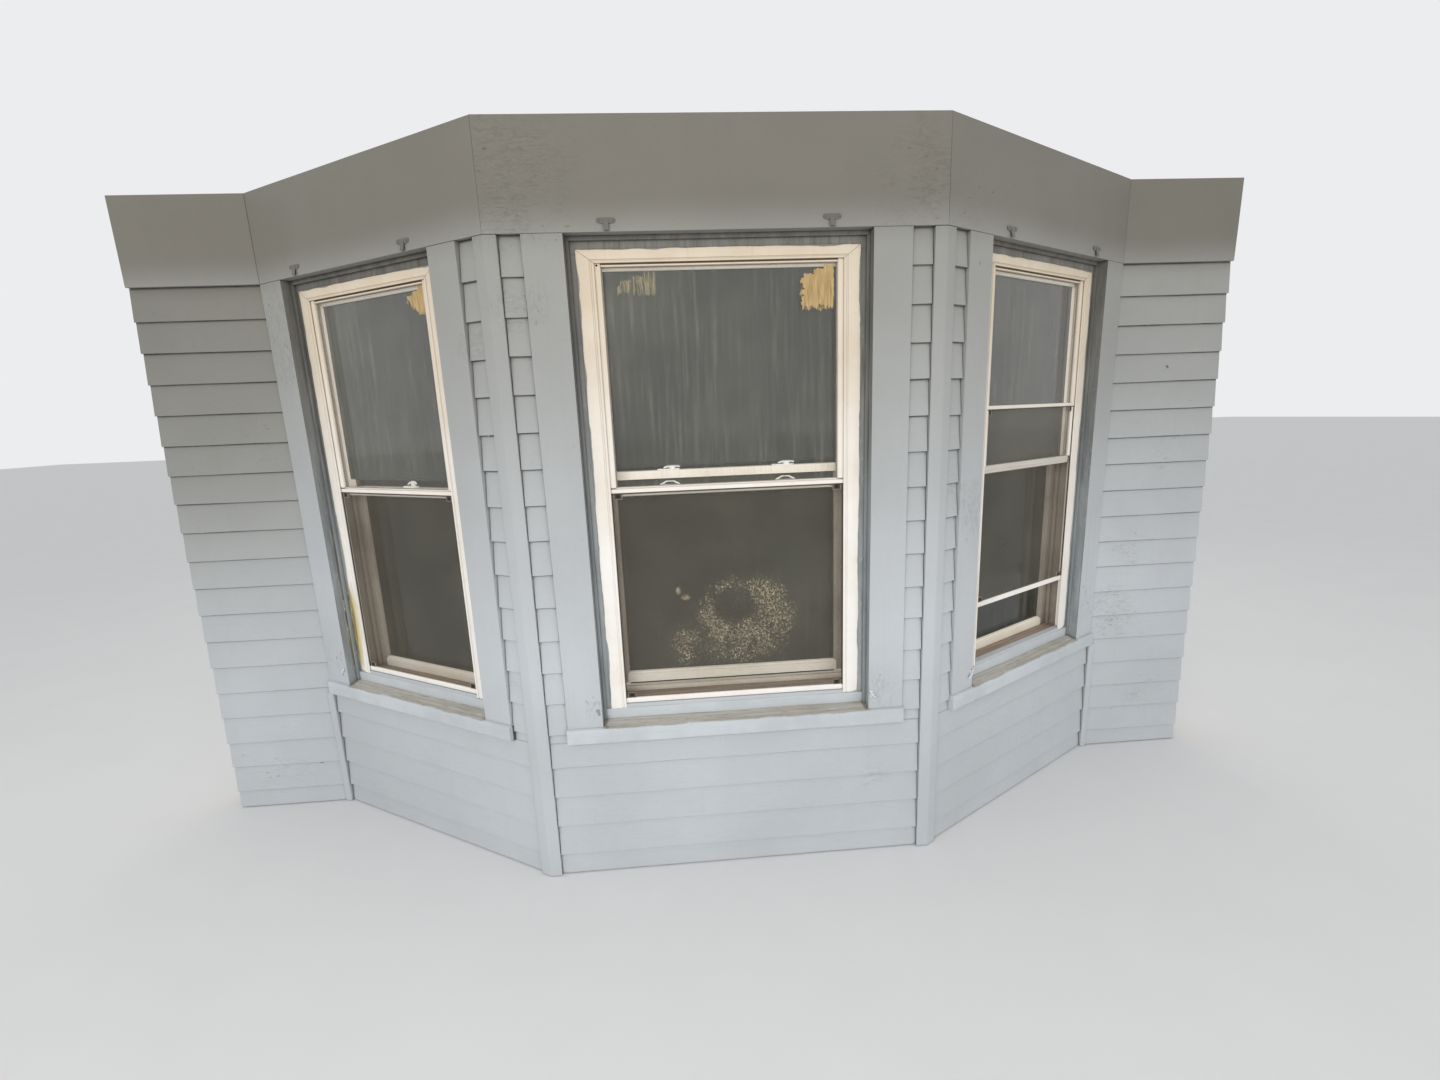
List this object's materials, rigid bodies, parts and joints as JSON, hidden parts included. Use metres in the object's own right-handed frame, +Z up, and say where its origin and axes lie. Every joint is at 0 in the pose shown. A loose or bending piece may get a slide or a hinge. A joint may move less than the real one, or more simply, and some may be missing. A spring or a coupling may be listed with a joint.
{
  "type": "bay window",
  "caption": "Three-sided timber bay window with double-hung sashes, storm windows, insect screens, lapped clapboards and a short stub of house wall on each side.",
  "frame": {"origin": "on the floor line, in the plane of the house wall, at the middle of the bay", "axes": "+X along the house wall to the right as seen from outside, +Y into the house, +Z up"},
  "size_m": [4.0836, 0.7328, 2.335],
  "materials": {
    "wall_paint": "satin",
    "sash_paint": "satin",
    "storm_metal": "satin",
    "screen_metal": "matte",
    "timber": "matte",
    "plaster": "matte",
    "pane": "gloss",
    "hardware": "satin"
  },
  "bodies": {
    "root": {"front_wall": "timber", "left_side_wall": "timber", "right_side_wall": "timber", "left_wing_wall": "timber", "right_wing_wall": "timber", "plaster_lining": "plaster", "front_siding": "wall_paint", "side_siding": "wall_paint", "wing_siding": "wall_paint", "front_frieze": "wall_paint", "side_friezes": "wall_paint", "wing_friezes": "wall_paint", "left_corner_board": "wall_paint", "right_corner_board": "wall_paint", "inner_corner_strips": "wall_paint", "front_casings": "wall_paint", "left_casings": "wall_paint", "right_casings": "wall_paint", "front_window_frame": "wall_paint", "left_window_frame": "wall_paint", "right_window_frame": "wall_paint", "front_sill": "wall_paint", "left_sill": "wall_paint", "right_sill": "wall_paint", "front_storm_window": "storm_metal", "left_storm_window": "storm_metal", "right_storm_window": "storm_metal", "front_screen": "screen_metal", "left_screen": "screen_metal", "right_screen": "screen_metal", "front_upper_sash": "sash_paint", "left_upper_sash": "sash_paint", "right_upper_sash": "sash_paint", "front_lower_sash": "sash_paint", "left_lower_sash": "sash_paint", "right_lower_sash": "sash_paint", "storm_glass": "pane", "sash_glass": "pane", "sash_locks": "hardware", "window_hooks": "hardware", "inner_casings": "sash_paint", "window_stools": "sash_paint", "baseboards": "sash_paint", "floor_joists": "timber", "bay_floor": "timber", "ceiling_joists": "timber", "bay_ceiling": "plaster", "bay_header": "timber"}
  },
  "joints": []
}
